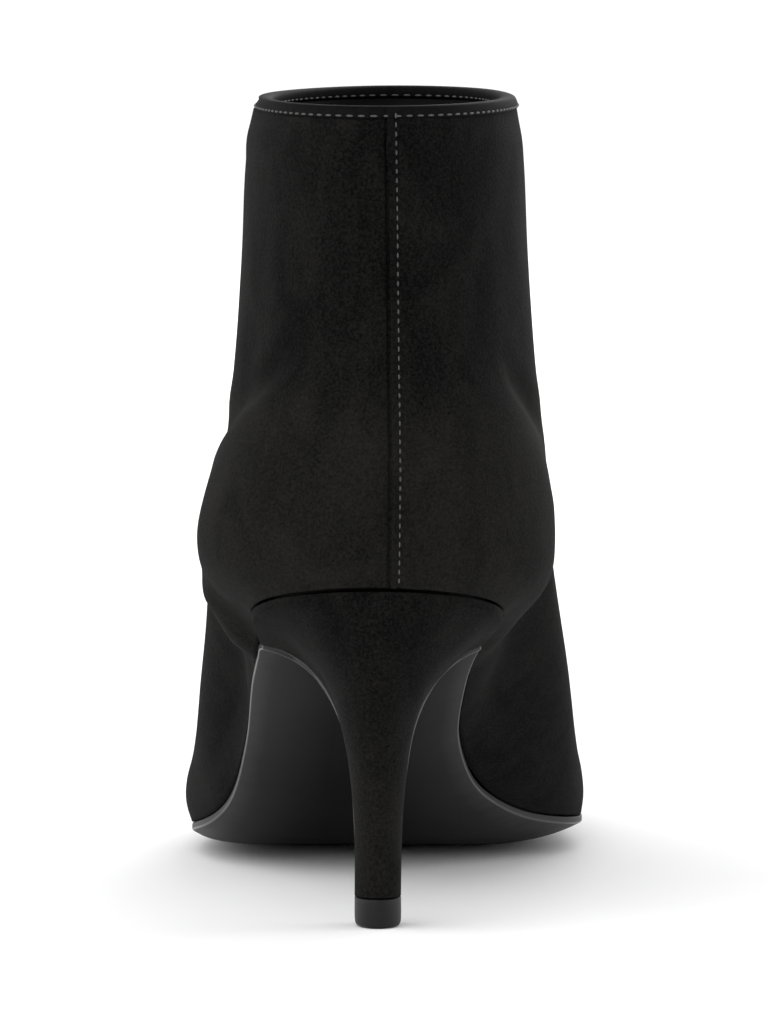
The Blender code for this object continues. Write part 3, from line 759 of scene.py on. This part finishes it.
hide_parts("heel_tip")
print("tip:", len(tip_piece.data.polygons), "faces")

# %% [markdown]
# ## Insole
# The foot rests on a board covered with a sheet of the lining leather. Little of it can be seen
# through the collar, so the solid is only rounded, and lowered at the ball with its neighbours.

# %% Insole
insole = solid_copy("insole")
settle(insole)
insole = rounded(insole, 2)
insole_piece = new_piece("covered_insole", insole, lining)
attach(insole_piece, "root")
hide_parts("insole")
print("insole:", len(insole_piece.data.polygons), "faces")

# %% [markdown]
# ## Stitches
# A machine stitch shows as a short length of twisted thread that dips into the leather at both
# ends. Each one is a ball stretched along its row and sunk to its middle. The row's path is found
# by looking at the dressed pieces and noting what is met first, so the thread lies on them from
# every side.

# %% Thread and rows
THREAD = 0.42  # thickness
TURN = 0.3  # how far before and after its middle a stitch takes its direction

# Waxed thread: grey and a little glossy, so the rows stand out from the black.
thread, thread_shader = new_material("waxed_polyester_thread", Roughness=0.55,
                                     Specular_IOR_Level=0.4)
place = add_node(thread, "ShaderNodeTexCoord", {}, {})
ply = add_node(thread, "ShaderNodeTexWave", {"Scale": per_mm(0.9), "Distortion": 0.5},
               {"Vector": place.outputs["Object"]})
tone = add_node(thread, "ShaderNodeValToRGB", {}, {"Fac": ply.outputs["Fac"]})
tone.color_ramp.elements[0].color = srgb("#2a2a2a")
tone.color_ramp.elements[1].color = srgb("#4e4e4e")
thread.node_tree.links.new(tone.outputs["Color"], thread_shader.inputs["Base Color"])


def first_met(origin, direction, *trees):
    """First place and normal that a look from an origin meets on the dressed pieces."""
    looks = [tree.ray_cast(Vector(origin) * MM, Vector(direction)) for tree in trees]
    met = [look for look in looks if look[0] is not None]
    return min(met, key=lambda look: look[3])[:2] if met else None


def stitch_row(name, path, pitch, length):
    """Stitches at an even pitch along a path of places and normals."""
    places = np.array([at for at, _ in path]) / MM
    gaps = np.linalg.norm(np.diff(places, axis=0), axis=1)
    runs = np.concatenate(((0.0,), np.cumsum(gaps)))
    count = int(runs[-1] / pitch)
    bm = bmesh.new()
    for i in range(count):
        middle = (i + 0.5) * runs[-1] / count
        at, before, after = (
            Vector([np.interp(run, runs, places[:, axis]) for axis in range(3)])
            for run in (middle, middle - TURN, middle + TURN)
        )
        normal = Vector(path[int(np.searchsorted(runs, middle))][1])
        ahead = (after - before).normalized()
        across = normal.cross(ahead).normalized()
        out = ahead.cross(across)
        turned = Matrix((across * THREAD, out * THREAD, ahead * length)).transposed().to_4x4()
        bmesh.ops.create_uvsphere(bm, u_segments=8, v_segments=6, radius=0.5 * MM,
                                  matrix=Matrix.Translation(at * MM) @ turned)
    piece = new_piece(name, bm, thread)
    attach(piece, "root")
    print(name, "stitches:", count, "on", round(float(runs[-1]), 1), "mm")


print("thread nodes:", len(thread.node_tree.nodes))

# %% [markdown]
# ## Stitches down the back
# The seam's row is looked for from behind, height by height, on the upper and on the binding that
# it runs on across.

# %% Stitches down the back
SEAM_PITCH, SEAM_STITCH = 1.7, 1.05
SEAM_FROM, SEAM_TO, LOOK_STEP = 65.2, 152.0, 0.25
BEHIND_Y = -200.0

seam_path = []
for z in np.arange(SEAM_FROM, SEAM_TO, LOOK_STEP):
    behind = (np.interp(z, SEAM_Z, SEAM_X) + STITCH_IN, BEHIND_Y, z)
    met = first_met(behind, (0.0, 1.0, 0.0), seam_tree, rim_tree)
    if met:
        seam_path.append(met)
stitch_row("seam_stitches", seam_path, SEAM_PITCH, SEAM_STITCH)

# %% [markdown]
# ## Stitches round the collar
# The binding is sewn through, so the same row shows on both faces. The outer one is looked for
# from outside, all the way round, and the inner one from the middle of the collar.

# %% Stitches round the collar
COLLAR_PITCH, COLLAR_STITCH = 2.3, 1.4
LOOKS = 721
OUT_FROM_MIDDLE = 90.0

outer_path, inner_path = [], []
for angle in np.linspace(0.0, 2.0 * math.pi, LOOKS):
    out = Vector((math.sin(angle), -math.cos(angle), 0.0))
    outer_path.append(first_met(RIM_MIDDLE + out * OUT_FROM_MIDDLE, -out, rim_tree))
    inner_path.append(first_met(RIM_MIDDLE, out, rim_tree))
stitch_row("collar_stitches", outer_path, COLLAR_PITCH, COLLAR_STITCH)
stitch_row("collar_stitches_inside", inner_path, COLLAR_PITCH, COLLAR_STITCH)
